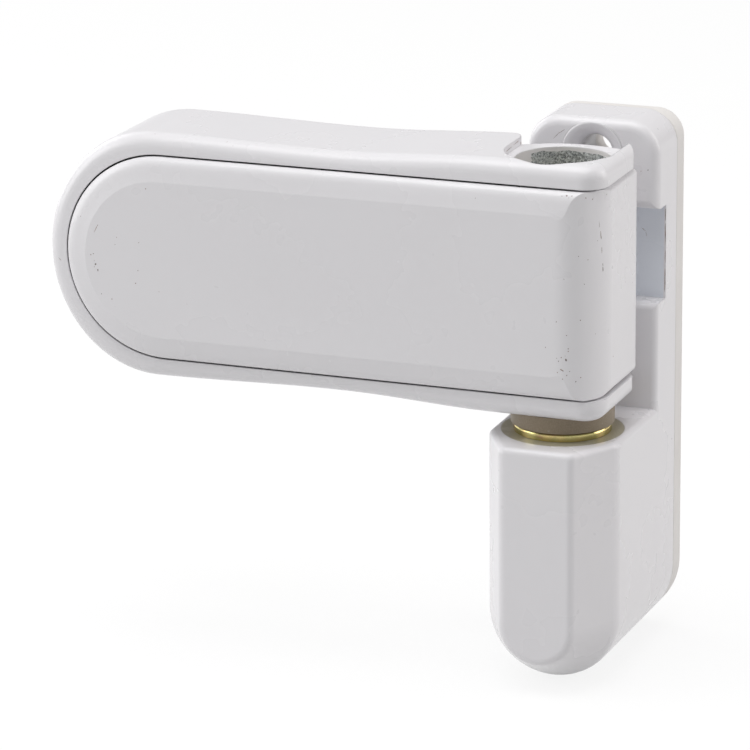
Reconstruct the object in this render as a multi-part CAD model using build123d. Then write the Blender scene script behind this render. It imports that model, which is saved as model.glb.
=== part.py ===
from build123d import *
from math import radians, sqrt, tan
import os

# Flag hinge for a plastic-framed door, in millimetres.
# The frame side is fixed with its back on Y = 0 and faces -Y. The pin stands upright on X = 0.
# Z = 0 is the top of the frame barrel. The flag lies closed, reaching towards -X.

# Frame side, outside
pin_standoff = 28.75
frame_half_width = 11.6
frame_draft_deg = 0.45
packer_thickness = 3.85
packer_top_drop = 0.55
packer_corner = 4.6
packer_edge_chamfer = 0.2
frame_top = 49.4
frame_corner = 5.6
wall_front = 14.8
round_bottom_z = -30.8
bevel_start = -4.8
barrel_front = -13.9
front_flat_half_width = 6.25
barrel_edge_radius = 1.0
bevel_front_radius = 1.5
bevel_rear_radius = 4.0
boss_edge_radius = 1.6

# Notch across the frame body and its two fixing holes
notch_low = 18.3
notch_high = 34.5
notch_floor = 19.3
notch_hole_z = 26.4
boss_hole_z = 43.4
fixing_hole_d = 5.6
boss_dish_d = 11.0
boss_dish_depth = 2.8
notch_sink_d = 10.4
notch_sink_depth = 2.4

# Pockets cored from the back of the frame body
core_wall = 3.4
core_corner = 1.5

# Pin, its bushes and the height screw
pin_d = 11.0
pin_bottom = -27.0
pin_top = 38.5
flange_d = 16.4
flange_thickness = 1.38
flange_edge_radius = 0.5
pin_tip_chamfer = 1.0
running_clearance = 0.05
snug_clearance = 0.02
face_clearance = 0.05
barrel_bush_d = 15.2
barrel_bush_length = 24.0
barrel_rim_d = 20.5
barrel_rim_thickness = 1.8
height_screw_d = 8.0
height_screw_rise = 3.4
height_thread_top = -30.0
height_screw_hex = 4.0
height_socket_depth = 5.4
height_screw_chamfer = 0.6

# Flag body
flag_centre_z = 25.9
flag_left_x = -69.5
flag_left_reach = 19.3
flag_left_half = 21.2
flag_waist_x = -30.0
flag_waist_half = 20.7
flag_knuckle_x = -9.0
flag_knuckle_half = 21.6
flag_right_x = 10.0
flag_back = 8.7
flag_front = -10.5
flag_edge_radius = 2.4
knuckle_front_radius = 4.0
knuckle_rear_radius = 2.8
knuckle_rear_start = 5.9
knuckle_back = 10.0
knuckle_back_x = 0.65
knuckle_valley_x = -9.8
knuckle_valley_back = 6.5
knuckle_shoulder_radius = 2.0
knuckle_bore_d = 14.0
cap_bore_d = 16.0
cap_seat_left = -9.6
cap_seat_right = 8.5
cap_seat_front = -9.3
cap_seat_depth = 1.4
knuckle_left_x = -11.0
knuckle_face = -8.7
floor_front = 3.5
floor_back = 6.5

# Cover
cover_half_height = 17.5
cover_left_x = -67.4
cover_right_x = 9.85
cover_base = -10.6
cover_crown = 1.7
cover_border = 5.5
cover_right_border = 7.0
cover_corner_depth = 8.0
cover_wall = 1.6
cover_side_wall = 1.1
cover_skirt_end = -6.0
cover_side_end = 8.5
cover_side_corner = 1.2
cover_gap = 0.3
cover_side_gap = 0.2
cover_corner_radius = 1.0
cover_panel_corner = 4.5
panel_thickness = 1.9
hook_x = (-60.0, -25.0)
hook_length = 8.0
hook_reach = 0.7
hook_height = 1.2
hook_clearance = 0.3

# Knuckle bushes and pin retaining screw
collar_d = 17.3
collar_edge_chamfer = 0.1
lower_bush_top = 20.0
upper_bush_bottom = 24.0
upper_bush_top = 40.0
retainer_z = 34.0
retainer_d = 5.0
retainer_dog_d = 3.0
pin_groove_width = 3.6
pin_groove_depth = 0.7
retainer_hex = 2.5
retainer_socket_depth = 2.0
retainer_proud = 0.8
retainer_dog_clearance = 0.2

# Door plate, its clamps and the sideways adjusting screw
side_travel = 3.0
plate_half_height = 14.2
plate_left = -79.0
plate_right = -17.0
plate_corner = 4.0
plate_end_clearance = 0.5
door_hole_x = (-66.0, -30.0)
door_hole_rise = 9.0
door_hole_d = 5.2
door_sink_d = 9.6
door_sink_depth = 1.6
door_window_height = 10.5
window_clearance = 0.5
clamp_x = -48.0
clamp_rise = 10.8
clamp_d = 5.0
clamp_head_d = 8.6
clamp_head_height = 2.8
clamp_head_chamfer = 0.4
clamp_hex = 3.0
clamp_socket_depth = 1.8
clamp_tip_back = 0.3
washer_d = 10.4
washer_thickness = 1.0
lug_length = 8.0
lug_width = 10.0
lug_edge_radius = 3.0
lug_clearance = 0.3
spindle_depth = -1.0
lug_front = -5.6
spindle_d = 6.0
spindle_neck_d = 3.6
spindle_head_length = 3.9
spindle_end_x = -36.0
spindle_hex = 3.0
spindle_socket_depth = 2.9
rib_x = -57.8
rib_thickness = 2.4
rib_width = 7.4

# Reach of a cut past what it cuts, overlap of joined solids and tolerance of a selection
overcut = 1.0
merge = 0.1
near = 0.01

# Worked out from the sizes above
frame_bottom_z = round_bottom_z - frame_half_width
flange_bottom = face_clearance
flange_top = flange_bottom + flange_thickness
collar_bottom = flange_top + face_clearance
flag_bottom = flag_centre_z - flag_knuckle_half
flag_top = flag_centre_z + flag_knuckle_half
collar_top = flag_bottom - snug_clearance
cap_seat_z = flag_top - cap_seat_depth
cap_bore_bottom = upper_bush_top + snug_clearance
height_screw_bottom = frame_bottom_z + height_screw_rise
pin_bore_d = pin_d + 2 * running_clearance
recess_half_height = plate_half_height + running_clearance
plate_front = floor_back + face_clearance
spindle_z = flag_centre_z


def depth(from_pin):
    """Y of a place given by its distance behind the pin axis."""
    return from_pin - pin_standoff


def front_plane(from_pin):
    """Upright plane facing the viewer, X to the right and Z up."""
    return Plane(origin=(0, depth(from_pin), 0), x_dir=(1, 0, 0), z_dir=(0, -1, 0))


def plan_plane(z):
    """Level plane with its origin on the pin axis, X to the right and Y to the back."""
    return Plane(origin=(0, depth(0), z))


def slab(x_low, x_high, back_low, back_high, z_low, z_high):
    """Box between two X values, two depths behind the pin and two heights."""
    size = (x_high - x_low, back_high - back_low, z_high - z_low)
    centre = ((x_low + x_high) / 2, depth((back_low + back_high) / 2), (z_low + z_high) / 2)
    return Pos(*centre) * Box(*size)


def upright(diameter, z_low, z_high):
    """Cylinder on the pin axis."""
    return Pos(0, depth(0), (z_low + z_high) / 2) * Cylinder(diameter / 2, z_high - z_low)


def through_back(x, z, diameter, back_low, back_high):
    """Cylinder that runs front to back."""
    middle = Pos(x, depth((back_low + back_high) / 2), z)
    return middle * Rot(90, 0, 0) * Cylinder(diameter / 2, back_high - back_low)


def sink(x, z, small_d, large_d, back_low, deep):
    """Cone that opens towards the front, for a countersunk head."""
    cone = Cone(large_d / 2, small_d / 2, deep)
    return Pos(x, depth(back_low + deep / 2), z) * Rot(-90, 0, 0) * cone


def hex_prism(across_flats, length):
    """Hexagonal key socket, lying along Z."""
    return extrude(RegularPolygon(across_flats / sqrt(3), 6), amount=length / 2, both=True)


def round_bottom(half_width, top):
    """Outline with straight sides, a flat top and a round bottom, seen from the front."""
    left = (-half_width, round_bottom_z)
    right = (half_width, round_bottom_z)
    edges = [
        Line((-half_width, top), left),
        ThreePointArc(left, (0, round_bottom_z - half_width), right),
        Line(right, (half_width, top)),
        Line((half_width, top), (-half_width, top)),
    ]
    return make_face(edges)


def frame_outline(top, corner):
    """Round-bottomed outline of the frame side with its rounded top corners."""
    outline = round_bottom(frame_half_width, top)
    return fillet(outline.vertices().group_by(Axis.Y)[-1], corner)


def make_frame_body():
    """Die-cast frame body: fixing plate, barrel, notch, boss and cored back."""
    body_back = pin_standoff - packer_thickness
    run = body_back - bevel_start
    narrow = frame_half_width - run * tan(radians(frame_draft_deg))
    outline = front_plane(body_back) * frame_outline(frame_top, frame_corner)
    body = extrude(outline, amount=run, taper=frame_draft_deg)
    side = frame_half_width + overcut
    body -= slab(-side, side, bevel_start - overcut, wall_front, 0, frame_top + overcut)
    bevel = loft([
        front_plane(bevel_start) * round_bottom(narrow, 0),
        front_plane(barrel_front) * round_bottom(front_flat_half_width, 0),
    ])
    body += bevel
    body = ease_bevels(body)
    body -= slab(-side, side, wall_front - overcut, notch_floor, notch_low, notch_high)
    body = ease_front(body)
    body -= barrel_bore()
    body -= fixing_holes(body_back)
    body -= back_cores(body_back)
    return body


def ease_bevels(body):
    """Rounds the long creases on both sides of the barrel's bevels."""
    creases = edges_at(body, Axis.Y, depth(barrel_front))
    body = fillet([e for e in creases if e.center().Z < -near], bevel_front_radius)
    creases = edges_at(body, Axis.Y, depth(bevel_start))
    return fillet([e for e in creases if e.center().Z < -near], bevel_rear_radius)


def ease_front(body):
    """Rounds the boss, then the wall under the notch and the top edge of the barrel."""
    y = depth(wall_front)
    boss = [e for e in edges_at(body, Axis.Y, y) if e.center().Z > notch_high - near]
    body = fillet(boss, boss_edge_radius)
    wall = [e for e in edges_at(body, Axis.Y, y) if near < e.center().Z < notch_low + near]
    rim = [e for e in edges_at(body, Axis.Z, 0) if e.center().Y < y - near]
    return fillet(wall + rim, barrel_edge_radius)


def edges_at(body, axis, place):
    """Edges that lie in one plane across an axis."""
    return body.edges().filter_by_position(axis, place - near, place + near)


def barrel_bore():
    """Stepped bore for the bush, the foot of the pin and the height screw."""
    rim = upright(barrel_rim_d + 2 * snug_clearance, -barrel_rim_thickness, overcut)
    sleeve = upright(barrel_bush_d + 2 * snug_clearance, -barrel_bush_length - face_clearance, overcut)
    foot = upright(pin_bore_d, height_thread_top, overcut)
    thread = upright(height_screw_d + 2 * running_clearance, frame_bottom_z - overcut, overcut)
    return rim + sleeve + foot + thread


def fixing_holes(body_back):
    """Two screw holes with a soft dish in the boss and a countersink in the notch."""
    cut = through_back(0, boss_hole_z, fixing_hole_d, wall_front - overcut, body_back + overcut)
    cut += sink(0, boss_hole_z, fixing_hole_d, boss_dish_d, wall_front, boss_dish_depth)
    cut += through_back(0, notch_hole_z, fixing_hole_d, notch_floor - overcut, body_back + overcut)
    cut += sink(0, notch_hole_z, fixing_hole_d, notch_sink_d, notch_floor, notch_sink_depth)
    return cut


def back_cores(body_back):
    """Pockets that keep the casting's walls even, open to the packer."""
    half = frame_half_width - core_wall
    barrel_core_front = barrel_bush_d / 2 + core_wall
    lower = slab(-half, half, barrel_core_front, body_back + overcut, round_bottom_z, -core_wall)
    upper_front = wall_front + core_wall
    upper = slab(-half, half, upper_front, body_back + overcut, core_wall, notch_low - core_wall)
    return fillet_along_back(lower) + fillet_along_back(upper)


def fillet_along_back(pocket):
    """Rounds the four corners of a pocket that run front to back."""
    return fillet(pocket.edges().filter_by(Axis.Y), core_corner)


def make_packer():
    """Moulded packer that spaces the frame body off the door frame."""
    outline = frame_outline(frame_top - packer_top_drop, packer_corner)
    plate = extrude(front_plane(pin_standoff) * outline, amount=packer_thickness)
    plate = chamfer(plate.faces().sort_by(Axis.Y)[0].edges(), packer_edge_chamfer)
    front = pin_standoff - packer_thickness
    for z in (boss_hole_z, notch_hole_z):
        plate -= through_back(0, z, fixing_hole_d, front - overcut, pin_standoff + overcut)
    return plate


def sleeve_on_pin(outer_d, z_low, z_high):
    """Plain bush that the pin turns in."""
    return upright(outer_d, z_low, z_high) - upright(pin_bore_d, z_low - overcut, z_high + overcut)


def make_barrel_bush():
    """Plastic bush in the barrel, with the wide rim that shows round the pin."""
    rim = sleeve_on_pin(barrel_rim_d, -barrel_rim_thickness + snug_clearance, 0)
    bush = rim + sleeve_on_pin(barrel_bush_d, -barrel_bush_length, -barrel_rim_thickness + merge)
    return bush


def make_hinge_pin():
    """Turned pin with its thrust flange and the groove that the retaining screw runs in."""
    pin = upright(pin_d, pin_bottom, pin_top)
    pin = chamfer(pin.edges().filter_by(GeomType.CIRCLE), pin_tip_chamfer)
    flange = upright(flange_d, flange_bottom, flange_top)
    flange = fillet(flange.edges().group_by(Axis.Z)[-1], flange_edge_radius)
    pin += flange
    low = retainer_z - pin_groove_width / 2
    high = retainer_z + pin_groove_width / 2
    groove = upright(pin_d + overcut, low, high)
    groove -= upright(pin_d - 2 * pin_groove_depth, low - overcut, high + overcut)
    return pin - groove


def make_height_screw():
    """Grub screw under the pin that lifts the flag as it is turned."""
    screw = upright(height_screw_d, height_screw_bottom, pin_bottom - face_clearance)
    screw = chamfer(screw.edges().filter_by(GeomType.CIRCLE), height_screw_chamfer)
    mouth = Pos(0, depth(0), height_screw_bottom)
    return screw - mouth * hex_prism(height_screw_hex, 2 * height_socket_depth)


def flag_outline():
    """Front outline of the flag: round free end, slim waist and a wider knuckle."""
    top_left = (flag_left_x, flag_centre_z + flag_left_half)
    low_left = (flag_left_x, flag_centre_z - flag_left_half)
    waist_high = (flag_waist_x, flag_centre_z + flag_waist_half)
    waist_low = (flag_waist_x, flag_centre_z - flag_waist_half)
    top_knuckle = (flag_knuckle_x, flag_top)
    low_knuckle = (flag_knuckle_x, flag_bottom)
    along = ((1, 0), (1, 0))
    centre = (flag_left_x, flag_centre_z)
    edges = [
        EllipticalCenterArc(centre, flag_left_reach, flag_left_half, start_angle=90, arc_size=180),
        Spline([low_left, waist_low, low_knuckle], tangents=along),
        Line(low_knuckle, (flag_right_x, flag_bottom)),
        Line((flag_right_x, flag_bottom), (flag_right_x, flag_top)),
        Line((flag_right_x, flag_top), top_knuckle),
        Spline([top_left, waist_high, top_knuckle], tangents=along),
    ]
    return make_face(edges)


def flag_height():
    """Level blank that is taller than the flag, for cuts along the pin."""
    half = max(flag_left_half, flag_waist_half, flag_knuckle_half) + overcut
    return flag_centre_z - half, 2 * half


def knuckle_plan():
    """Plan of the flag's back: flat behind the tray, then a valley and the bulge behind the pin."""
    far_left = flag_left_x - flag_left_reach - overcut
    shoulder = knuckle_valley_x - knuckle_shoulder_radius
    shoulder_back = flag_back - knuckle_shoulder_radius
    corner = flag_right_x - knuckle_rear_radius
    corner_back = knuckle_rear_start + knuckle_rear_radius
    front = flag_front - overcut
    edges = [
        Line((far_left, flag_back), (shoulder, flag_back)),
        RadiusArc((shoulder, flag_back), (knuckle_valley_x, shoulder_back), knuckle_shoulder_radius),
        Line((knuckle_valley_x, shoulder_back), (knuckle_valley_x, knuckle_valley_back)),
        ThreePointArc(
            (knuckle_valley_x, knuckle_valley_back), (knuckle_back_x, knuckle_back), (corner, corner_back),
        ),
        RadiusArc((corner, corner_back), (flag_right_x, knuckle_rear_start), knuckle_rear_radius),
        Line((flag_right_x, knuckle_rear_start), (flag_right_x, front)),
        Line((flag_right_x, front), (far_left, front)),
        Line((far_left, front), (far_left, flag_back)),
    ]
    return make_face(edges)


def make_flag_body():
    """Die-cast flag: tray under the cover, knuckle round the pin and recess for the door plate."""
    blank_back = knuckle_back + overcut
    block = extrude(front_plane(blank_back) * flag_outline(), amount=blank_back - flag_front)
    low, tall = flag_height()
    body = ease_flag(block) & extrude(plan_plane(low) * knuckle_plan(), amount=tall)
    body -= cover_pocket()
    body -= slab(
        plate_left - side_travel - plate_end_clearance, plate_right + side_travel + plate_end_clearance,
        floor_back, flag_back + overcut,
        flag_centre_z - recess_half_height, flag_centre_z + recess_half_height,
    )
    body -= floor_windows()
    body += cradle_rib()
    body -= upright(knuckle_bore_d, flag_bottom - overcut, flag_top + overcut)
    body -= upright(cap_bore_d, cap_bore_bottom, flag_top + overcut)
    body -= extrude(plan_plane(cap_seat_z) * cap_seat_plan(), amount=cap_seat_depth + overcut)
    body -= retainer_cylinder(retainer_d + 2 * snug_clearance, knuckle_left_x - overcut, 0)
    return body - hooks(hook_reach, hook_clearance)


def ease_flag(block):
    """Rounds the knuckle's front corner, then the edge of the rim right round to the back."""
    corner = [e for e in block.edges().filter_by(Axis.Z) if e.center().Y < depth(flag_front) + near]
    block = fillet(corner, knuckle_front_radius)
    chain = []
    for edge in block.edges():
        on_front = abs(edge.center().Y - depth(flag_front)) < near
        box = edge.bounding_box()
        level = box.max.Z - box.min.Z < near
        on_side = level and box.min.X > flag_right_x - knuckle_front_radius - near
        if on_front or on_side:
            chain.append(edge)
    return fillet(chain, flag_edge_radius)


def cap_seat_plan():
    """Plan of the missing cap's seat: round at the front and open at the back."""
    middle = (cap_seat_left + cap_seat_right) / 2
    radius = (cap_seat_right - cap_seat_left) / 2
    side = cap_seat_front + radius
    back = knuckle_back + overcut
    edges = [
        ThreePointArc((cap_seat_left, side), (middle, cap_seat_front), (cap_seat_right, side)),
        Line((cap_seat_right, side), (cap_seat_right, back)),
        Line((cap_seat_right, back), (cap_seat_left, back)),
        Line((cap_seat_left, back), (cap_seat_left, side)),
    ]
    return make_face(edges)


def cover_shape(inset, right_inset, corner=cover_corner_radius):
    """Front outline of the cover, drawn in by a margin, with its two right corners rounded."""
    half = cover_half_height - inset
    right = cover_right_x - right_inset
    high = flag_centre_z + half
    low = flag_centre_z - half
    flat_end = right - corner
    edges = [
        ThreePointArc((cover_left_x, high), (cover_left_x - half, flag_centre_z), (cover_left_x, low)),
        Line((cover_left_x, low), (flat_end, low)),
        RadiusArc((flat_end, low), (right, low + corner), -corner),
        Line((right, low + corner), (right, high - corner)),
        RadiusArc((right, high - corner), (flat_end, high), -corner),
        Line((flat_end, high), (cover_left_x, high)),
    ]
    return make_face(edges)


def cover_pocket():
    """Room for the cover: a deep tray, a shallow step over the knuckle and a step along its side."""
    step = cover_right_x - cover_side_wall - cover_side_gap
    outline = cover_shape(-cover_gap, -2 * overcut)
    pocket = extrude(front_plane(floor_front) * outline, amount=floor_front - flag_front + overcut)
    knuckle = slab(knuckle_left_x, step, knuckle_face, floor_front, flag_bottom, flag_top)
    pocket -= knuckle & turned_block(cover_side_wall + cover_side_gap, panel_thickness + cover_gap)
    half = cover_half_height + cover_gap
    pocket += slab(
        step, flag_right_x + overcut, floor_front - merge, knuckle_back,
        flag_centre_z - half, flag_centre_z + half,
    )
    return pocket


def floor_windows():
    """Openings in the tray floor for the door screws, the clamps and the lug of the door plate."""
    length = 2 * (side_travel + window_clearance)
    through = floor_back - floor_front + 2 * overcut
    cut = slab(
        clamp_x - lug_length / 2 - side_travel - window_clearance,
        clamp_x + lug_length / 2 + side_travel + window_clearance,
        floor_front - overcut, floor_back + overcut,
        flag_centre_z - lug_width / 2 - lug_clearance, flag_centre_z + lug_width / 2 + lug_clearance,
    )
    for side in (-1, 1):
        for x in door_hole_x:
            slot = SlotCenterToCenter(length, door_window_height)
            place = front_plane(floor_back + overcut) * Pos(x, flag_centre_z + side * door_hole_rise)
            cut += extrude(place * slot, amount=through)
        slot = SlotCenterToCenter(length, clamp_d + 2 * window_clearance)
        place = front_plane(floor_back + overcut) * Pos(clamp_x, flag_centre_z + side * clamp_rise)
        cut += extrude(place * slot, amount=through)
    return cut


def cradle_rib():
    """Rib that holds the neck of the sideways screw in a slot open to the front."""
    top = spindle_depth - spindle_d / 2
    rib = slab(
        rib_x - rib_thickness / 2, rib_x + rib_thickness / 2, top, floor_front + merge,
        spindle_z - rib_width / 2, spindle_z + rib_width / 2,
    )
    neck = spindle_neck_d + 2 * running_clearance
    low = rib_x - rib_thickness
    high = rib_x + rib_thickness
    rib -= along_x(low, high, neck)
    rib -= slab(low, high, top - overcut, spindle_depth, spindle_z - neck / 2, spindle_z + neck / 2)
    return rib


def along_x(x_low, x_high, diameter, from_pin=spindle_depth, z=spindle_z):
    """Cylinder that runs from left to right."""
    place = Pos((x_low + x_high) / 2, depth(from_pin), z)
    return place * Rot(0, 90, 0) * Cylinder(diameter / 2, x_high - x_low)


def retainer_cylinder(diameter, x_low, x_high):
    """Cylinder on the axis of the pin retaining screw."""
    return along_x(x_low, x_high, diameter, 0, retainer_z)


def make_flag_cover():
    """Snap-on cover: crowned face, skirt inside the rim and a side wall round the knuckle."""
    base = extrude(front_plane(cover_side_end) * cover_shape(0, 0), amount=cover_side_end - cover_base)
    steps = ((0, 0), (0.09, 0.42), (0.3, 0.72), (0.62, 0.92), (1, 1))
    sections = []
    for drawn_in, raised in steps:
        corner = cover_corner_radius + drawn_in * (cover_panel_corner - cover_corner_radius)
        outline = cover_shape(cover_border * drawn_in, cover_right_border * drawn_in, corner)
        sections.append(front_plane(cover_base - cover_crown * raised) * outline)
    cover = base + loft(sections)
    cover &= turned_block(0, 0)
    cover -= cover_inside()
    return (cover & cover_side_view()) + hooks(hook_reach, 0)


def cover_side_view():
    """Block that rounds the two rear corners of the cover's side wall, seen from the side."""
    front = cover_base - cover_crown - overcut
    outline = Rectangle(cover_side_end - front, 2 * cover_half_height)
    outline = fillet(outline.vertices().group_by(Axis.X)[-1], cover_side_corner)
    middle = depth((front + cover_side_end) / 2)
    across = Plane(origin=(cover_right_x, middle, flag_centre_z), x_dir=(0, 1, 0), z_dir=(1, 0, 0))
    reach = cover_right_x - cover_left_x + cover_half_height + overcut
    return extrude(across * outline, amount=reach, both=True)


def turned_block(side, front):
    """Block with the cover's long rounding at its knuckle end, drawn in at the side and the front."""
    far_left = cover_left_x - cover_half_height - overcut
    face = cover_base - cover_crown
    centre = (cover_right_x - cover_right_border, face + cover_corner_depth)
    reach = (cover_right_border - side, cover_corner_depth - front)
    turn = EllipticalCenterArc(centre, *reach, start_angle=270, arc_size=90)
    right = cover_right_x - side
    back = cover_side_end + overcut
    edges = [
        Line((far_left, back), (right, back)),
        Line((right, back), (right, centre[1])),
        turn,
        Line((centre[0], face + front), (far_left, face + front)),
        Line((far_left, face + front), (far_left, back)),
    ]
    return extrude(plan_plane(flag_bottom) * make_face(edges), amount=flag_top - flag_bottom)


def cover_inside():
    """Hollow of the cover: deep inside the skirt, shallow and full height over the knuckle."""
    front = cover_base - cover_crown + panel_thickness
    back = cover_side_end + overcut
    right = cover_right_x - cover_side_wall
    far_left = cover_left_x - cover_half_height - overcut
    hollow = extrude(front_plane(back) * cover_shape(cover_wall, cover_side_wall), amount=back - front)
    hollow += slab(far_left, right, cover_skirt_end, back, flag_bottom, flag_top)
    hollow += slab(
        knuckle_left_x - cover_gap, right, knuckle_face - cover_gap, back, flag_bottom, flag_top,
    )
    return hollow & turned_block(cover_side_wall, panel_thickness)


def hooks(reach, spare):
    """Snap hooks along the skirt, or with spare room the grooves that they snap into."""
    shape = None
    for x in hook_x:
        for side in (-1, 1):
            edge = flag_centre_z + side * (cover_half_height + reach / 2 - merge)
            low = edge - reach / 2 - merge - spare
            high = edge + reach / 2 + merge + spare
            back = cover_skirt_end
            hook = slab(
                x - hook_length / 2 - spare, x + hook_length / 2 + spare,
                back - hook_height - spare, back + spare, low, high,
            )
            shape = hook if shape is None else shape + hook
    return shape


def make_lower_bush():
    """Plastic knuckle bush whose collar shows between the flag and the pin flange."""
    collar = sleeve_on_pin(collar_d, collar_bottom, collar_top)
    collar = chamfer(collar.edges().filter_by(GeomType.CIRCLE).sort_by(Axis.Z)[:1], collar_edge_chamfer)
    return collar + sleeve_on_pin(knuckle_bore_d - 2 * snug_clearance, collar_top - merge, lower_bush_top)


def make_upper_bush():
    """Plastic bush round the top of the pin, drilled for the retaining screw."""
    bush = sleeve_on_pin(knuckle_bore_d - 2 * snug_clearance, upper_bush_bottom, upper_bush_top)
    return bush - retainer_cylinder(retainer_dog_d + 2 * retainer_dog_clearance, -knuckle_bore_d, 0)


def make_pin_retainer():
    """Grub screw with a dog point that keeps the flag on the pin."""
    bore_wall = knuckle_bore_d / 2
    groove = pin_d / 2 - pin_groove_depth
    end = knuckle_left_x - retainer_proud
    shoulder = -bore_wall - face_clearance
    screw = retainer_cylinder(retainer_d, end, shoulder)
    mouth = Pos(end, depth(0), retainer_z) * Rot(0, 90, 0)
    screw -= mouth * hex_prism(retainer_hex, 2 * retainer_socket_depth)
    return screw + retainer_cylinder(retainer_dog_d, shoulder - merge, -groove - retainer_dog_clearance)


def make_door_plate():
    """Plate that is screwed to the door and that the flag slides along, with its threaded lug."""
    middle = ((plate_left + plate_right) / 2, flag_centre_z)
    outline = Pos(*middle) * RectangleRounded(plate_right - plate_left, 2 * plate_half_height, plate_corner)
    plate = extrude(front_plane(flag_back) * outline, amount=flag_back - plate_front)
    front = plate_front - overcut
    back = flag_back + overcut
    for side in (-1, 1):
        for x in door_hole_x:
            z = flag_centre_z + side * door_hole_rise
            plate -= through_back(x, z, door_hole_d, front, back)
            plate -= sink(x, z, door_hole_d, door_sink_d, plate_front, door_sink_depth)
        z = flag_centre_z + side * clamp_rise
        plate -= through_back(clamp_x, z, clamp_d + 2 * snug_clearance, front, back)
    lug = slab(
        clamp_x - lug_length / 2, clamp_x + lug_length / 2, lug_front, plate_front + merge,
        spindle_z - lug_width / 2, spindle_z + lug_width / 2,
    )
    lug = fillet(lug.edges().filter_by(Axis.X).group_by(Axis.Y)[0], lug_edge_radius)
    plate += lug
    return plate - along_x(clamp_x - lug_length, clamp_x + lug_length, spindle_d + 2 * running_clearance)


def make_clamp_screws():
    """Two screws that clamp the flag to the door plate."""
    head_back = floor_front - washer_thickness - face_clearance
    screws = []
    for side in (-1, 1):
        z = flag_centre_z + side * clamp_rise
        head = through_back(clamp_x, z, clamp_head_d, head_back - clamp_head_height, head_back)
        head = chamfer(head.edges().group_by(Axis.Y)[0], clamp_head_chamfer)
        socket = Pos(clamp_x, depth(head_back - clamp_head_height), z) * Rot(90, 0, 0)
        head -= socket * hex_prism(clamp_hex, 2 * clamp_socket_depth)
        screws.append(head + through_back(clamp_x, z, clamp_d, head_back - merge, flag_back - clamp_tip_back))
    return screws


def make_clamp_washers():
    """Plain washers that bridge the clamp slots."""
    washers = []
    for side in (-1, 1):
        z = flag_centre_z + side * clamp_rise
        back = floor_front - face_clearance
        front = back - washer_thickness
        disc = through_back(clamp_x, z, washer_d, front, back)
        hole = through_back(clamp_x, z, clamp_d + 2 * snug_clearance, front - overcut, back + overcut)
        washers.append(disc - hole)
    return washers


def make_side_screw():
    """Screw that drives the flag sideways along the door plate."""
    neck_low = rib_x - rib_thickness / 2 - face_clearance
    neck_high = rib_x + rib_thickness / 2 + face_clearance
    head_low = neck_low - spindle_head_length
    screw = along_x(head_low, neck_low, spindle_d)
    screw += along_x(neck_low - merge, neck_high + merge, spindle_neck_d)
    screw += along_x(neck_high, spindle_end_x, spindle_d)
    socket = Pos(head_low, depth(spindle_depth), spindle_z) * Rot(0, 90, 0)
    return screw - socket * hex_prism(spindle_hex, 2 * spindle_socket_depth)


def write(node, shape):
    """Saves one node as a STEP file, several like pieces as one group."""
    solids = shape if isinstance(shape, list) else shape.solids()
    body = solids[0] if len(solids) == 1 else Compound(children=[s.solid() for s in solids])
    export_step(body, f"parts/{node}.step")


os.makedirs("parts", exist_ok=True)
nodes = {
    "frame_body": make_frame_body,
    "frame_packer": make_packer,
    "barrel_bush": make_barrel_bush,
    "hinge_pin": make_hinge_pin,
    "height_screw": make_height_screw,
    "flag_body": make_flag_body,
    "flag_cover": make_flag_cover,
    "lower_knuckle_bush": make_lower_bush,
    "upper_knuckle_bush": make_upper_bush,
    "pin_retaining_screw": make_pin_retainer,
    "door_plate": make_door_plate,
    "clamp_screws": make_clamp_screws,
    "clamp_washers": make_clamp_washers,
    "side_adjusting_screw": make_side_screw,
}
for name, make in nodes.items():
    write(name, make())
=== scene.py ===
import bpy
import math
import random
from math import cos, radians, sin
from mathutils import Matrix, Vector


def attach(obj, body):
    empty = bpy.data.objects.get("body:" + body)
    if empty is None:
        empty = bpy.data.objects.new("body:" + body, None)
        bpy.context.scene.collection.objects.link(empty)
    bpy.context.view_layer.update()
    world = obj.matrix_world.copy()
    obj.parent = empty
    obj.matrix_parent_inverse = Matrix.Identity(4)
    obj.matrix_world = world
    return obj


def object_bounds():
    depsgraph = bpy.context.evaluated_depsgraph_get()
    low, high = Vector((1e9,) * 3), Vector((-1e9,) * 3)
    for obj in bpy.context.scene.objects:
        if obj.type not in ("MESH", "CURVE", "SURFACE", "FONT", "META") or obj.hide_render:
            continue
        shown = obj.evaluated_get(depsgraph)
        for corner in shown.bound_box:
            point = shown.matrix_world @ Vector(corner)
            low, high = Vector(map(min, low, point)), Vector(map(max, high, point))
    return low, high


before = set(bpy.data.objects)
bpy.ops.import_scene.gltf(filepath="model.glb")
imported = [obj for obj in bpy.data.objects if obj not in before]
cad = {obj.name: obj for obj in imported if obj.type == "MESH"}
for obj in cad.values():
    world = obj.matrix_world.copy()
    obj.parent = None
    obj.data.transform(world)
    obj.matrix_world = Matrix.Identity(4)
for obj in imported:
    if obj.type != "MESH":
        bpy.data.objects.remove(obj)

cad_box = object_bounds()

# Camera
# A long lens from the upper right of the flag, as in the photo, held very slightly askew.
azimuth = radians(21.639)
elevation = radians(16.774)
roll = radians(-0.652)
aim = Vector((-0.02988, -0.03777, 0.00873))
distance = 0.69995
camera = bpy.data.objects.new("camera", bpy.data.cameras.new("camera"))
bpy.context.scene.collection.objects.link(camera)
turn = Matrix.Rotation(azimuth, 4, "Z") @ Matrix.Rotation(radians(90) - elevation, 4, "X")
turn = turn @ Matrix.Rotation(roll, 4, "Z")
camera.matrix_world = Matrix.Translation(aim) @ turn @ Matrix.Translation((0, 0, distance))
camera.data.lens = 202.09
camera.data.sensor_width = 36.0
camera.data.clip_start = 0.05
camera.data.clip_end = 20.0
bpy.context.scene.camera = camera

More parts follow.
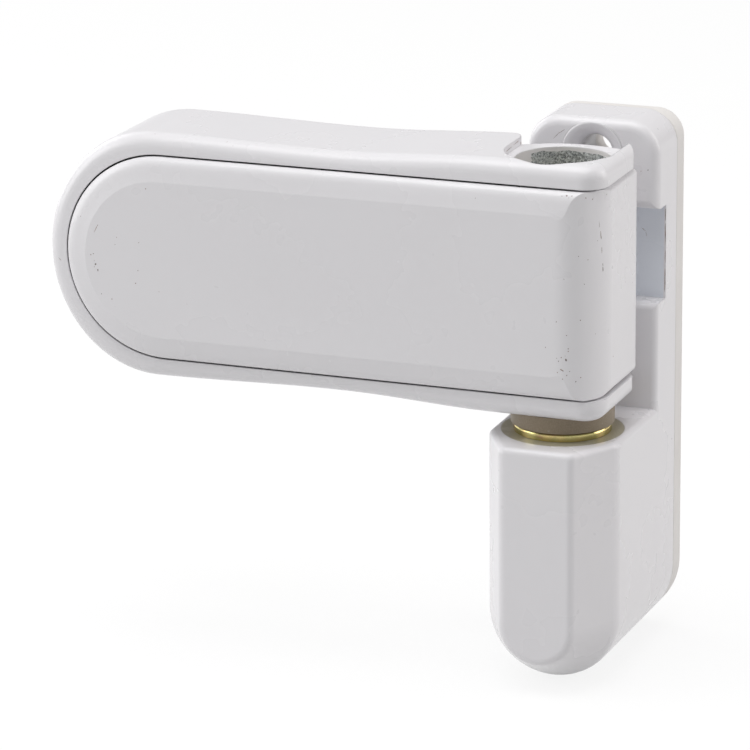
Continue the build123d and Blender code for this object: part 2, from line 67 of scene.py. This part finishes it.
# Frame body
# One zinc die casting: fixing plate, notch, boss and the barrel that holds the pin. It is dipped, powder
# coated white and baked, which leaves a fine orange peel and soft edges, with a few specks of dust in it.
# Two countersunk screws hold it to the door frame through the boss and the notch.
MM = 0.001


def shader_node(tree, kind, **settings):
    item = tree.nodes.new("ShaderNode" + kind)
    for key, value in settings.items():
        setattr(item, key, value)
    return item


def feed(tree, socket, source):
    """Joins a socket to another node's output, or gives it a plain number."""
    if isinstance(source, bpy.types.NodeSocket):
        tree.links.new(source, socket)
    else:
        socket.default_value = source


def calculate(tree, operation, first, second=0.0, clamp=False):
    item = shader_node(tree, "Math", operation=operation, use_clamp=clamp)
    feed(tree, item.inputs[0], first)
    feed(tree, item.inputs[1], second)
    return item.outputs[0]


def vary(tree, value, amount, base):
    """A number that rises from base by the given amount of a value."""
    return calculate(tree, "ADD", calculate(tree, "MULTIPLY", value, amount), base)


def fade(tree, value, start, end):
    """0 before start and 1 past end, with a smooth change between them."""
    item = shader_node(tree, "MapRange", interpolation_type="SMOOTHSTEP")
    feed(tree, item.inputs["Value"], value)
    feed(tree, item.inputs["From Min"], start)
    feed(tree, item.inputs["From Max"], end)
    return item.outputs["Result"]


def blend_colour(tree, factor, first, second):
    item = shader_node(tree, "Mix", data_type="RGBA")
    feed(tree, item.inputs[0], factor)
    feed(tree, item.inputs[6], first)
    feed(tree, item.inputs[7], second)
    return item.outputs[2]


def grain(tree, position, size_mm, detail=2.0, roughness=0.5, shift=(0, 0, 0)):
    """Noise over the surface with features of about the given size."""
    moved = shader_node(tree, "VectorMath", operation="ADD")
    feed(tree, moved.inputs[0], position)
    moved.inputs[1].default_value = shift
    item = shader_node(tree, "TexNoise")
    feed(tree, item.inputs["Vector"], moved.outputs[0])
    item.inputs["Scale"].default_value = 1 / (size_mm * MM)
    item.inputs["Detail"].default_value = detail
    item.inputs["Roughness"].default_value = roughness
    return item.outputs["Fac"]


def new_group(name, numbers, outputs):
    """Group over the surface: takes a position and plain numbers, gives values or colours."""
    group = bpy.data.node_groups.new(name, "ShaderNodeTree")
    group.interface.new_socket("Position", in_out="INPUT", socket_type="NodeSocketVector")
    for label, value in numbers.items():
        socket = group.interface.new_socket(label, in_out="INPUT", socket_type="NodeSocketFloat")
        socket.default_value = value
    for label, kind in outputs.items():
        group.interface.new_socket(label, in_out="OUTPUT", socket_type="NodeSocket" + kind)
    entry = group.nodes.new("NodeGroupInput")
    way_out = group.nodes.new("NodeGroupOutput")
    return group, entry, way_out


def scaled_noise(group, entry, label, detail, factor=1.0):
    """Noise in a group whose feature size comes in by a socket, in millimetres."""
    item = shader_node(group, "TexNoise")
    feed(group, item.inputs["Vector"], entry.outputs["Position"])
    feed(group, item.inputs["Scale"], calculate(group, "DIVIDE", factor / MM, entry.outputs[label]))
    item.inputs["Detail"].default_value = detail
    return item.outputs["Fac"]


# Orange peel: broad ripples with a fine baked grain on them
peel, entry, way_out = new_group("orange_peel", {"Ripple": 1.4, "Grain": 0.22}, {"Height": "Float"})
ripple = scaled_noise(peel, entry, "Ripple", 1.0)
fine = scaled_noise(peel, entry, "Grain", 2.0)
feed(peel, way_out.inputs["Height"], calculate(peel, "ADD", ripple, calculate(peel, "MULTIPLY", fine, 0.16)))

# Dust specks: a few cells of many hold one dark grain each
dust, entry, way_out = new_group(
    "dust_specks", {"Spacing": 2.2, "Size": 0.07, "Share": 0.1}, {"Mask": "Float"})
cells = shader_node(dust, "TexVoronoi", feature="F1")
feed(dust, cells.inputs["Vector"], entry.outputs["Position"])
feed(dust, cells.inputs["Scale"], calculate(dust, "DIVIDE", 1 / MM, entry.outputs["Spacing"]))
chosen = shader_node(dust, "SeparateColor")
feed(dust, chosen.inputs[0], cells.outputs["Color"])
picked = calculate(dust, "LESS_THAN", chosen.outputs[0], entry.outputs["Share"])
reach = calculate(dust, "DIVIDE", entry.outputs["Size"], entry.outputs["Spacing"])
reach = calculate(dust, "MULTIPLY", reach, calculate(dust, "ADD", chosen.outputs[1], 0.4))
inside = calculate(dust, "LESS_THAN", cells.outputs["Distance"], reach)
feed(dust, way_out.inputs["Mask"], calculate(dust, "MULTIPLY", picked, inside))

# Handling film: wide, faint clouds where fingers and packing have rubbed
film, entry, way_out = new_group("handling_film", {"Cloud": 16.0, "Rub": 3.0}, {"Mask": "Float"})
wide = scaled_noise(film, entry, "Cloud", 0.0)
rub = scaled_noise(film, entry, "Rub", 1.0)
clouds = calculate(film, "MULTIPLY", fade(film, wide, 0.2, 0.9), rub)
feed(film, way_out.inputs["Mask"], clouds)


def place(tree, group, position, **numbers):
    item = shader_node(tree, "Group", node_tree=group)
    feed(tree, item.inputs["Position"], position)
    for label, value in numbers.items():
        item.inputs[label].default_value = value
    return item.outputs


def new_material(name):
    """Empty material with its principled shader and the position on the piece at rest."""
    material = bpy.data.materials.new(name)
    material.use_nodes = True
    tree = material.node_tree
    position = shader_node(tree, "TexCoord").outputs["Object"]
    return material, tree, tree.nodes["Principled BSDF"], position


def raise_surface(tree, shader, height, depth_mm, edge_mm=0.0):
    """Bump of a given depth, over edges that are softened by a small radius."""
    bump = shader_node(tree, "Bump")
    bump.inputs["Strength"].default_value = 1.0
    bump.inputs["Distance"].default_value = depth_mm * MM
    feed(tree, bump.inputs["Height"], height)
    if edge_mm:
        edge = shader_node(tree, "Bevel", samples=6)
        edge.inputs["Radius"].default_value = edge_mm * MM
        tree.links.new(edge.outputs["Normal"], bump.inputs["Normal"])
    tree.links.new(bump.outputs["Normal"], shader.inputs["Normal"])


def powder_coat(name, colour, shade, ripple_mm, edge_mm=0.25):
    """White powder coat: peel, specks and a thin handling film. Gives the colour for more to go on it."""
    material, tree, shader, position = new_material(name)
    cloud = grain(tree, position, 34, 0.0)
    tone = blend_colour(tree, cloud, (*colour, 1), (*shade, 1))
    handled = place(tree, film, position)["Mask"]
    tone = blend_colour(tree, calculate(tree, "MULTIPLY", handled, 0.05), tone, (0.66, 0.63, 0.60, 1))
    speck = place(tree, dust, position)["Mask"]
    tone = blend_colour(tree, calculate(tree, "MULTIPLY", speck, 0.75), tone, (0.16, 0.13, 0.12, 1))
    height = place(tree, peel, position, Ripple=ripple_mm)["Height"]
    gloss = vary(tree, handled, 0.1, 0.26)
    feed(tree, shader.inputs["Roughness"], gloss)
    feed(tree, shader.inputs["Base Color"], tone)
    shader.inputs["IOR"].default_value = 1.5
    raise_surface(tree, shader, height, 0.004, edge_mm)
    return material, tree, shader, position, tone


def dress(node, material):
    cad[node].data.materials.clear()
    cad[node].data.materials.append(material)


coat_white = (0.80, 0.788, 0.808)
coat_shade = (0.775, 0.763, 0.783)
frame_coat, tree, shader, position, tone = powder_coat("frame_coat", coat_white, coat_shade, 1.6)
pin_y = -28.75 * MM
# Painted shade: the notch floor behind the barrel, a recess in shade, gets a cooler, bluer tone.
axis = shader_node(tree, "SeparateXYZ")
feed(tree, axis.inputs[0], position)
behind = calculate(tree, "SUBTRACT", axis.outputs["Y"], pin_y)
notch_shade_tint = fade(tree, behind, 18.6 * MM, 19.2 * MM)
low = fade(tree, axis.outputs["Z"], 18.2 * MM, 18.5 * MM)
high = fade(tree, axis.outputs["Z"], 34.6 * MM, 34.3 * MM)
across = calculate(tree, "ABSOLUTE", axis.outputs["X"])
within = calculate(tree, "LESS_THAN", across, 11.2 * MM)
notch_shade_tint = calculate(tree, "MULTIPLY", notch_shade_tint, within)
notch_shade_tint = calculate(tree, "MULTIPLY", notch_shade_tint, calculate(tree, "MULTIPLY", low, high))
tone = blend_colour(tree, notch_shade_tint, tone, (0.765, 0.80, 0.86, 1))
feed(tree, shader.inputs["Base Color"], tone)
dress("frame_body", frame_coat)

# Dish round the boss hole
# The boss rolls softly into its screw hole instead of by a sharp countersink. It is the casting's own form,
# laid over the plain cone of the solid and coated with it.
dish_radius = 5.48
throat_radius = 2.84
dish_depth = 2.76
seating = 0.02
boss_front = 14.8
dish_y = pin_y + boss_front * MM
dish_z = 43.4 * MM
steps = 12
rings = []
for step in range(steps + 1):
    turn = radians(90) * step / steps
    narrow = (dish_radius - throat_radius) * (1 - sin(turn))
    rings.append(((throat_radius + narrow) * MM, dish_depth * (1 - cos(turn)) * MM))
rings.append((throat_radius * MM, (dish_depth + seating) * MM))
rings.append((dish_radius * MM, seating * MM))
around = 64
points = []
faces = []
for ring_radius, deep in rings:
    for number in range(around):
        turn = 2 * math.pi * number / around
        points.append((ring_radius * cos(turn), dish_y + deep, dish_z + ring_radius * sin(turn)))
for ring in range(len(rings)):
    after = (ring + 1) % len(rings)
    for number in range(around):
        beside = (number + 1) % around
        first = ring * around
        second = after * around
        faces.append((first + number, first + beside, second + beside, second + number))
dish_mesh = bpy.data.meshes.new("boss_dish")
dish_mesh.from_pydata(points, [], faces)
dish_mesh.shade_smooth()
boss_dish = bpy.data.objects.new("boss_dish", dish_mesh)
bpy.context.scene.collection.objects.link(boss_dish)
dish_mesh.materials.append(frame_coat)
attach(boss_dish, "frame")

# Packer
# Moulded plastic spacer behind the frame body, a shade warmer and duller than the coated metal. Its edge
# shows as the outer band along the right side, and the same two screws pass through it.
packer_plastic, tree, shader, position = new_material("packer_plastic")
mould_cloud = grain(tree, position, 14, 3.0)
tone = blend_colour(
    tree, fade(tree, mould_cloud, 0.35, 0.65), (0.79, 0.77, 0.75, 1), (0.76, 0.735, 0.715, 1))
feed(tree, shader.inputs["Base Color"], tone)
mould_grain = grain(tree, position, 0.16, 3.0, 0.6)
feed(tree, shader.inputs["Roughness"], vary(tree, mould_grain, 0.14, 0.42))
raise_surface(tree, shader, mould_grain, 0.006, 0.15)
dress("frame_packer", packer_plastic)

# Barrel bush
# Turned or moulded bush pressed into the barrel. Its wide rim takes the thrust of the pin's flange, and is
# an olive grey plastic with a dry, even surface.
bush_plastic, tree, shader, position = new_material("bush_plastic")
filler = grain(tree, position, 0.30, 4.0, 0.65)
streak = grain(tree, position, 3.5, 2.0, 0.5, (0.02, 0.01, 0))
tone = blend_colour(tree, fade(tree, filler, 0.3, 0.72), (0.345, 0.315, 0.225, 1), (0.42, 0.39, 0.30, 1))
tone = blend_colour(tree, fade(tree, streak, 0.52, 0.75), tone, (0.48, 0.45, 0.37, 1))
feed(tree, shader.inputs["Base Color"], tone)
feed(tree, shader.inputs["Roughness"], vary(tree, filler, 0.2, 0.36))
raise_surface(tree, shader, filler, 0.008, 0.12)
dress("barrel_bush", bush_plastic)

# Knuckle bushes
# Two moulded bushes in the flag's knuckle. The lower one's collar shows under the flag and is taupe, lightly
# scuffed and paler where it has rubbed at the left.
collar_plastic, tree, shader, position = new_material("collar_plastic")
filler = grain(tree, position, 0.22, 4.0, 0.7)
scuff = grain(tree, position, 0.9, 5.0, 0.75, (0.013, 0, 0.004))
tone = blend_colour(
    tree, fade(tree, filler, 0.3, 0.7), (0.215, 0.165, 0.105, 1), (0.265, 0.215, 0.150, 1))
rubbed = calculate(tree, "MULTIPLY", fade(tree, scuff, 0.58, 0.8), 0.5)
tone = blend_colour(tree, rubbed, tone, (0.52, 0.49, 0.42, 1))
feed(tree, shader.inputs["Base Color"], tone)
feed(tree, shader.inputs["Roughness"], vary(tree, filler, 0.2, 0.38))
raise_surface(tree, shader, filler, 0.007, 0.12)
dress("lower_knuckle_bush", collar_plastic)
dress("upper_knuckle_bush", collar_plastic)

# Hinge pin
# Turned steel pin with a thrust flange, yellow passivated, so bright with a brassy cast that turns green
# and rose in places. Fine turning marks run round it.
passivated, tree, shader, position = new_material("yellow_passivated")
film_cloud = grain(tree, position, 2.6, 3.0)
tone = blend_colour(tree, fade(tree, film_cloud, 0.35, 0.6), (0.78, 0.62, 0.27, 1), (0.62, 0.56, 0.24, 1))
blush = grain(tree, position, 1.7, 2.0, 0.5, (0, 0.03, 0.01))
blushed = calculate(tree, "MULTIPLY", fade(tree, blush, 0.58, 0.72), 0.5)
tone = blend_colour(tree, blushed, tone, (0.66, 0.36, 0.26, 1))
feed(tree, shader.inputs["Base Color"], tone)
shader.inputs["Metallic"].default_value = 1.0
rings = shader_node(tree, "TexWave", wave_type="BANDS", bands_direction="Z")
feed(tree, rings.inputs["Vector"], position)
rings.inputs["Scale"].default_value = 1600
rings.inputs["Distortion"].default_value = 1.5
feed(tree, shader.inputs["Roughness"], vary(tree, film_cloud, 0.12, 0.14))
raise_surface(tree, shader, rings.outputs["Fac"], 0.0012, 0.1)
dress("hinge_pin", passivated)

# Flag body
# One zinc die casting: the tray behind the cover, its rim, and the knuckle. It is powder coated as the frame
# body is, but the coat stops just inside the knuckle's open top, and below it the bore is bare grey metal
# with the sparkle of the casting skin and a dusting of overspray at its left.

# Gap shade: painted shade, near black, on the walls of the narrow gap round the cover, where shadow falls. It
# lies between two distances from the middle line of the cover's outline, behind a given front, and ends before
# the cover turns over the knuckle.
outline_middle = 25.9 * MM
outline_left = -67.4 * MM
# Near black colour of the painted gap shade.
painted_gap_colour = (0.02, 0.02, 0.02, 1)
painted_gap_shade, entry, way_out = new_group(
    "painted_gap_shade", {"Inner": 0.0, "Outer": 1.0, "Front": 0.0}, {"Mask": "Float"})
axis = shader_node(painted_gap_shade, "SeparateXYZ")
feed(painted_gap_shade, axis.inputs[0], entry.outputs["Position"])
from_middle = calculate(painted_gap_shade, "SUBTRACT", axis.outputs["Z"], outline_middle)
from_middle = calculate(painted_gap_shade, "ABSOLUTE", from_middle)
past_end = calculate(painted_gap_shade, "SUBTRACT", outline_left, axis.outputs["X"])
past_end = calculate(painted_gap_shade, "MAXIMUM", past_end, 0.0)
outward = calculate(painted_gap_shade, "SQRT", calculate(
    painted_gap_shade, "ADD", calculate(painted_gap_shade, "MULTIPLY", from_middle, from_middle),
    calculate(painted_gap_shade, "MULTIPLY", past_end, past_end)))
lying = calculate(
    painted_gap_shade, "MULTIPLY", calculate(painted_gap_shade, "GREATER_THAN", outward, entry.outputs["Inner"]),
    calculate(painted_gap_shade, "LESS_THAN", outward, entry.outputs["Outer"]))
behind = calculate(painted_gap_shade, "SUBTRACT", axis.outputs["Y"], pin_y)
full_depth = calculate(painted_gap_shade, "ADD", entry.outputs["Front"], 0.5 * MM)
lying = calculate(painted_gap_shade, "MULTIPLY", lying, fade(painted_gap_shade, behind, entry.outputs["Front"], full_depth))
before_turn = fade(painted_gap_shade, axis.outputs["X"], 7.5 * MM, 2.5 * MM)
feed(painted_gap_shade, way_out.inputs["Mask"], calculate(painted_gap_shade, "MULTIPLY", lying, before_turn))

coat, tree, shader, position, tone = powder_coat("flag_coat", coat_white, coat_shade, 1.5)
axis = shader_node(tree, "SeparateXYZ")
feed(tree, axis.inputs[0], position)
across = axis.outputs["X"]
behind = calculate(tree, "SUBTRACT", axis.outputs["Y"], pin_y)
radius = calculate(tree, "SQRT", calculate(
    tree, "ADD", calculate(tree, "MULTIPLY", across, across), calculate(tree, "MULTIPLY", behind, behind)))
wander = calculate(tree, "SUBTRACT", grain(tree, position, 2.2, 3.0), 0.5)
limit = vary(tree, wander, 0.9 * MM, 45.35 * MM)
bare = calculate(tree, "LESS_THAN", radius, 8.15 * MM)
bare = calculate(tree, "MULTIPLY", bare, calculate(tree, "LESS_THAN", axis.outputs["Z"], limit))
overspray = grain(tree, position, 0.28, 2.0, 0.6)
side_fade = fade(tree, across, -6.2 * MM, -7.9 * MM)
hidden = calculate(tree, "LESS_THAN", overspray, vary(tree, side_fade, 0.8, 0.22))
bare = calculate(tree, "MULTIPLY", bare, calculate(tree, "SUBTRACT", 1.0, hidden, True))
skin = grain(tree, position, 0.34, 3.0, 0.8, (0.01, 0.02, 0))
metal = blend_colour(tree, fade(tree, skin, 0.34, 0.66), (0.13, 0.145, 0.155, 1), (0.80, 0.84, 0.85, 1))
tone = blend_colour(tree, bare, tone, metal)
# Painted shade: the tray's walls seen through the gap round the cover are darkened nearly to black.
gap_shade_mask = place(tree, painted_gap_shade, position, Inner=-1.0, Outer=17.86 * MM, Front=-10.4 * MM)["Mask"]
gap_shade_mask = calculate(tree, "MULTIPLY", gap_shade_mask, calculate(tree, "LESS_THAN", behind, 3.6 * MM))
gap_shade_mask = calculate(tree, "MULTIPLY", gap_shade_mask, calculate(tree, "GREATER_THAN", radius, 8.6 * MM))
tone = blend_colour(tree, calculate(tree, "MULTIPLY", gap_shade_mask, 0.94), tone, painted_gap_colour)
feed(tree, shader.inputs["Base Color"], tone)
feed(tree, shader.inputs["Metallic"], calculate(tree, "MULTIPLY", bare, 0.2))
dress("flag_body", coat)

# Flag cover
# Snap-on cover with a crowned face, coated to match. It is clipped in the tray by four hooks and has been
# knocked along its knuckle end, where small chips go down to the brown primer.
cover_coat, tree, shader, position, tone = powder_coat("cover_coat", coat_white, coat_shade, 1.8, 0.2)
# Painted shade: the cover's own walls in the gap round it are darkened nearly to black.
gap_shade_mask = place(tree, painted_gap_shade, position, Inner=17.4 * MM, Outer=1.0, Front=-10.5 * MM)["Mask"]
tone = blend_colour(tree, calculate(tree, "MULTIPLY", gap_shade_mask, 0.94), tone, painted_gap_colour)
feed(tree, shader.inputs["Base Color"], tone)
dress("flag_cover", cover_coat)

# Chips and scratches on the flag
# Knocks at the cover's knuckle end, its round end and the rim have flaked the coat down to a brown primer.
# Each is a thin irregular flake laid on the surface; each scratch is a narrow one drawn along its line.
# A place is given by X, the distance behind the pin axis and Z, with half the flake's width, in millimetres.
chips = [
    (4.5, -11.33, 42.88, 0.14), (5.39, -11.33, 42.88, 0.075), (4.92, -11.52, 42.6, 0.055),
    (3.73, -11.43, 42.76, 0.055), (9.6, -6.37, 42.36, 0.075), (8.22, -9.42, 42.17, 0.075),
    (7.4, -10.37, 42.53, 0.075), (6.48, -11.13, 32.92, 0.075), (7.7, -10.07, 32.2, 0.055),
    (8.8, -8.52, 35.09, 0.055), (4.31, -12.12, 29.17, 0.055), (9.85, 0.67, 38.24, 0.075),
    (9.85, 2.42, 37.06, 0.055), (7.24, -10.53, 28.2, 0.075), (9.85, 6.63, 24.22, 0.055),
    (4.65, -12.03, 15.59, 0.14), (3.1, -12.29, 21.93, 0.075), (4.74, -12, 19.73, 0.075),
    (5.02, -11.9, 17.48, 0.075), (5.03, -11.9, 17.03, 0.075), (3.93, -12.2, 15.99, 0.075),
    (3.17, -12.29, 15.8, 0.055), (3.48, -12.27, 15.32, 0.075), (1.24, -12.3, 17.45, 0.075),
    (9.85, -3.31, 14.27, 0.075), (6.75, -10.94, 22.18, 0.075), (8.61, -8.83, 19.52, 0.055),
    (-79.87, -12.3, 25.85, 0.075), (-79.38, -12.3, 26.07, 0.075), (-79.01, -12.3, 24.26, 0.14),
    (-78.64, -12.3, 23.25, 0.14), (-79.27, -12.3, 23.8, 0.055), (-79.27, -12.3, 24.87, 0.055),
    (-70.92, -12.3, 28.71, 0.075), (-71.19, -12.3, 23.85, 0.075), (-71.7, -12.3, 21.59, 0.075),
    (-74.96, -12.3, 29.29, 0.055), (-75.31, -12.3, 28.04, 0.055), (-81.77, -11.84, 32.26, 0.075),
    (-78.07, -12.3, 19.15, 0.075), (-76.19, -12.3, 18.41, 0.075), (-69.38, -12.3, 38.15, 0.075),
    (-67.44, -12.3, 20.52, 0.055), (3.31, -12.28, 13.41, 0.075), (4.79, -11.98, 12.98, 0.075),
    (5.23, -11.82, 13.67, 0.075), (4.13, -12.16, 12.3, 0.075), (6.83, -10.88, 12.51, 0.075),
    (6.14, -11.36, 11.87, 0.075), (-68.85, -9.11, 46.87, 0.055), (-55.71, -9.26, 46.56, 0.055),
    (-54.4, -9.79, 46.11, 0.055), (-9.6, 6.46, 46.4, 0.14),
]
scratches = [
    (8.96, -8.18, 38.3, 8.98, -8.15, 37.2, 0.035),
    (9.09, -7.86, 36.6, 9.13, -7.8, 35.9, 0.05),
    (9.12, -7.82, 36.1, 9.17, -7.72, 35.0, 0.075),
    (9.22, -7.6, 34.0, 9.25, -7.54, 32.7, 0.06),
    (9.31, -7.35, 31.2, 9.33, -7.3, 30.5, 0.06),
    (9.32, -7.32, 30.6, 9.34, -7.28, 29.7, 0.1),
    (-78.4, -12.3, 31.15, -79.07, -12.3, 29.93, 0.05),
    (-86.76, -10.46, 24.22, -85.94, -10.5, 23.34, 0.05),
    (3.73, -12.23, 14, 4.26, -12.14, 13.67, 0.08),
    (-9.53, -1.29, 46.63, -9.6, 2.05, 46.83, 0.06),
    (-9.6, 2.54, 46.88, -9.6, 5.72, 47.05, 0.06),
]


def flake(mesh_points, mesh_faces, centre, normal, along, half_length, half_width, rough):
    """Adds one flat, ragged flake lying on a surface."""
    side = normal.cross(along).normalized()
    along = side.cross(normal)
    first = len(mesh_points)
    corners = 9
    for number in range(corners):
        turn = 2 * math.pi * number / corners
        pull = 1 + rough.uniform(-0.38, 0.38)
        offset = along * (cos(turn) * half_length * pull) + side * (sin(turn) * half_width * pull)
        mesh_points.append(centre + offset + normal * 0.008 * MM)
    mesh_points.append(centre + normal * 0.02 * MM)
    for number in range(corners):
        mesh_faces.append((first + corners, first + number, first + (number + 1) % corners))


def nearest(place_mm):
    """Closest place and normal on the coated castings or the cover."""
    x, behind, z = place_mm
    target = Vector((x * MM, pin_y + behind * MM, z * MM))
    found = []
    for node in ("flag_cover", "flag_body", "frame_body"):
        hit, place, normal, face = cad[node].closest_point_on_mesh(target)
        found.append(((place - target).length, place, normal))
    return min(found, key=lambda entry: entry[0])[1:]


def flake_piece(name, body, chips, scratches):
    """One piece that holds all the flakes and scratches of a body."""
    rough = random.Random(7)
    points = []
    faces = []
    for *place_mm, half in chips:
        centre, normal = nearest(place_mm)
        along = normal.cross(Vector((rough.uniform(-1, 1), rough.uniform(-1, 1), 0.3)))
        flake(points, faces, centre, normal, along.normalized(), half * 1.35 * MM, half * MM, rough)
    for *ends, half in scratches:
        start, normal = nearest(ends[:3])
        finish, normal = nearest(ends[3:])
        line = finish - start
        middle = (start + finish) / 2
        flake(points, faces, middle, normal, line.normalized(), line.length / 2, half * MM, rough)
    mesh = bpy.data.meshes.new(name)
    mesh.from_pydata(points, [], faces)
    piece = bpy.data.objects.new(name, mesh)
    bpy.context.scene.collection.objects.link(piece)
    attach(piece, body)
    return piece


primer, tree, shader, position = new_material("chipped_primer")
rust = grain(tree, position, 1.3, 3.0, 0.6)
crust = grain(tree, position, 0.10, 3.0, 0.7)
tone = blend_colour(tree, fade(tree, rust, 0.4, 0.62), (0.20, 0.17, 0.17, 1), (0.24, 0.115, 0.075, 1))
tone = blend_colour(tree, fade(tree, crust, 0.45, 0.75), tone, (0.46, 0.38, 0.36, 1))
feed(tree, shader.inputs["Base Color"], tone)
feed(tree, shader.inputs["Roughness"], vary(tree, crust, 0.2, 0.6))
raise_surface(tree, shader, crust, 0.02)
flag_flakes = flake_piece("flag_flakes", "flag", chips, scratches)
frame_chips = [(9.76, 14.8, 41.4, 0.1), (8.54, 14.8, 41.1, 0.06)]
frame_scratches = [
    (-6.8, 14.8, 45.5, -5.9, 14.8, 46.5, 0.05),
    (-6.0, 14.8, 46.4, -4.8, 14.8, 47.2, 0.05),
    (7.2, 19.3, 30.3, 8.0, 19.3, 29.6, 0.03),
    (8.0, 19.3, 29.6, 8.2, 19.3, 28.8, 0.03),
    (11.45, 19.3, 33.8, 11.45, 19.3, 31.9, 0.05),
    (11.45, 19.3, 31.2, 11.45, 19.3, 28.0, 0.06),
    (11.45, 19.3, 27.1, 11.45, 19.3, 24.3, 0.05),
    (11.45, 19.3, 23.6, 11.45, 19.3, 19.2, 0.06),
]
frame_flakes = flake_piece("frame_flakes", "frame", frame_chips, frame_scratches)
for piece in (flag_flakes, frame_flakes):
    piece.data.materials.append(primer)

# Height screw, pin screw, clamps, side screw and door plate
# Bought-in steel parts and a pressed steel plate, all bright zinc plated: a cool grey with faint spangle and
# a brushed look from rolling and turning. They sit under the pin, in the knuckle and behind the cover.
zinc, tree, shader, position = new_material("zinc_plate")
spangle = grain(tree, position, 1.1, 3.0, 0.6)
tone = blend_colour(tree, fade(tree, spangle, 0.35, 0.65), (0.62, 0.64, 0.67, 1), (0.50, 0.52, 0.54, 1))
feed(tree, shader.inputs["Base Color"], tone)
shader.inputs["Metallic"].default_value = 1.0
feed(tree, shader.inputs["Roughness"], vary(tree, spangle, 0.2, 0.22))
brushed = shader_node(tree, "VectorMath", operation="MULTIPLY")
feed(tree, brushed.inputs[0], position)
brushed.inputs[1].default_value = (0.06, 1.0, 1.0)
raise_surface(tree, shader, grain(tree, brushed.outputs[0], 0.12, 2.0), 0.003, 0.12)
steel_parts = (
    "height_screw", "pin_retaining_screw", "door_plate", "clamp_screws", "clamp_washers", "side_adjusting_screw")
for node in steel_parts:
    dress(node, zinc)

# Floor and studio
# A plain pale floor under soft boxes at both sides and above. What the camera sees of the floor is mostly
# its own pale colour, so it stays near white and still takes the hinge's shadow.
floor_mesh = bpy.data.meshes.new("floor")
reach = 3.0
ground = cad_box[0].z - 0.0005
corners = [
    (-reach, -reach, ground), (reach, -reach, ground), (reach, reach, ground), (-reach, reach, ground)]
floor_mesh.from_pydata(corners, [], [(0, 1, 2, 3)])
floor = bpy.data.objects.new("floor", floor_mesh)
bpy.context.scene.collection.objects.link(floor)
pale = bpy.data.materials.new("pale_floor")
pale.use_nodes = True
tree = pale.node_tree
tree.nodes["Principled BSDF"].inputs["Roughness"].default_value = 0.9
own = shader_node(tree, "Emission")
own.inputs["Color"].default_value = (1, 1, 1, 1)
own.inputs["Strength"].default_value = 1.0
seen = shader_node(tree, "LightPath")
either = calculate(tree, "MAXIMUM", seen.outputs["Is Camera Ray"], seen.outputs["Is Glossy Ray"])
either = calculate(tree, "MAXIMUM", either, seen.outputs["Is Transmission Ray"])
mix = shader_node(tree, "MixShader")
feed(tree, mix.inputs[0], calculate(tree, "MULTIPLY", either, 0.85))
paper = blend_colour(tree, either, (0.6, 0.6, 0.6, 1), (1, 1, 1, 1))
feed(tree, tree.nodes["Principled BSDF"].inputs["Base Color"], paper)
tree.links.new(tree.nodes["Principled BSDF"].outputs[0], mix.inputs[1])
tree.links.new(own.outputs[0], mix.inputs[2])
tree.links.new(mix.outputs[0], tree.nodes["Material Output"].inputs["Surface"])
floor_mesh.materials.append(pale)

world = bpy.data.worlds.new("studio")
bpy.context.scene.world = world
world.use_nodes = True
tree = world.node_tree
backdrop = tree.nodes["Background"]
backdrop.inputs["Color"].default_value = (1, 1, 1, 1)
seen = shader_node(tree, "LightPath")
either = calculate(tree, "MAXIMUM", seen.outputs["Is Camera Ray"], seen.outputs["Is Transmission Ray"])
room = 0.348
feed(tree, backdrop.inputs["Strength"], vary(tree, either, 1 - room, room))


def softbox(name, place, target, width, height, power, colour=(1, 1, 1)):
    lamp = bpy.data.lights.new(name, "AREA")
    lamp.shape = "RECTANGLE"
    lamp.size = width
    lamp.size_y = height
    lamp.energy = power
    lamp.color = colour
    item = bpy.data.objects.new(name, lamp)
    bpy.context.scene.collection.objects.link(item)
    item.location = place
    item.rotation_euler = (Vector(target) - Vector(place)).to_track_quat("-Z", "Y").to_euler()


softbox("left_box", (-1.0, -0.45, 0.25), (0, 0, 0), 0.6, 0.9, 5.0)
softbox("left_back_box", (-0.9, 0.35, 0.35), (0, 0, 0), 0.6, 0.8, 2.7)
softbox("right_back_box", (0.85, 0.45, 0.30), (0, 0, 0), 0.5, 0.9, 3.7, (1.0, 0.962, 0.945))
softbox("top_box", (-0.05, -0.2, 1.0), (0, 0, 0), 0.8, 0.8, 6.9)

bpy.context.scene.view_settings.view_transform = "Standard"
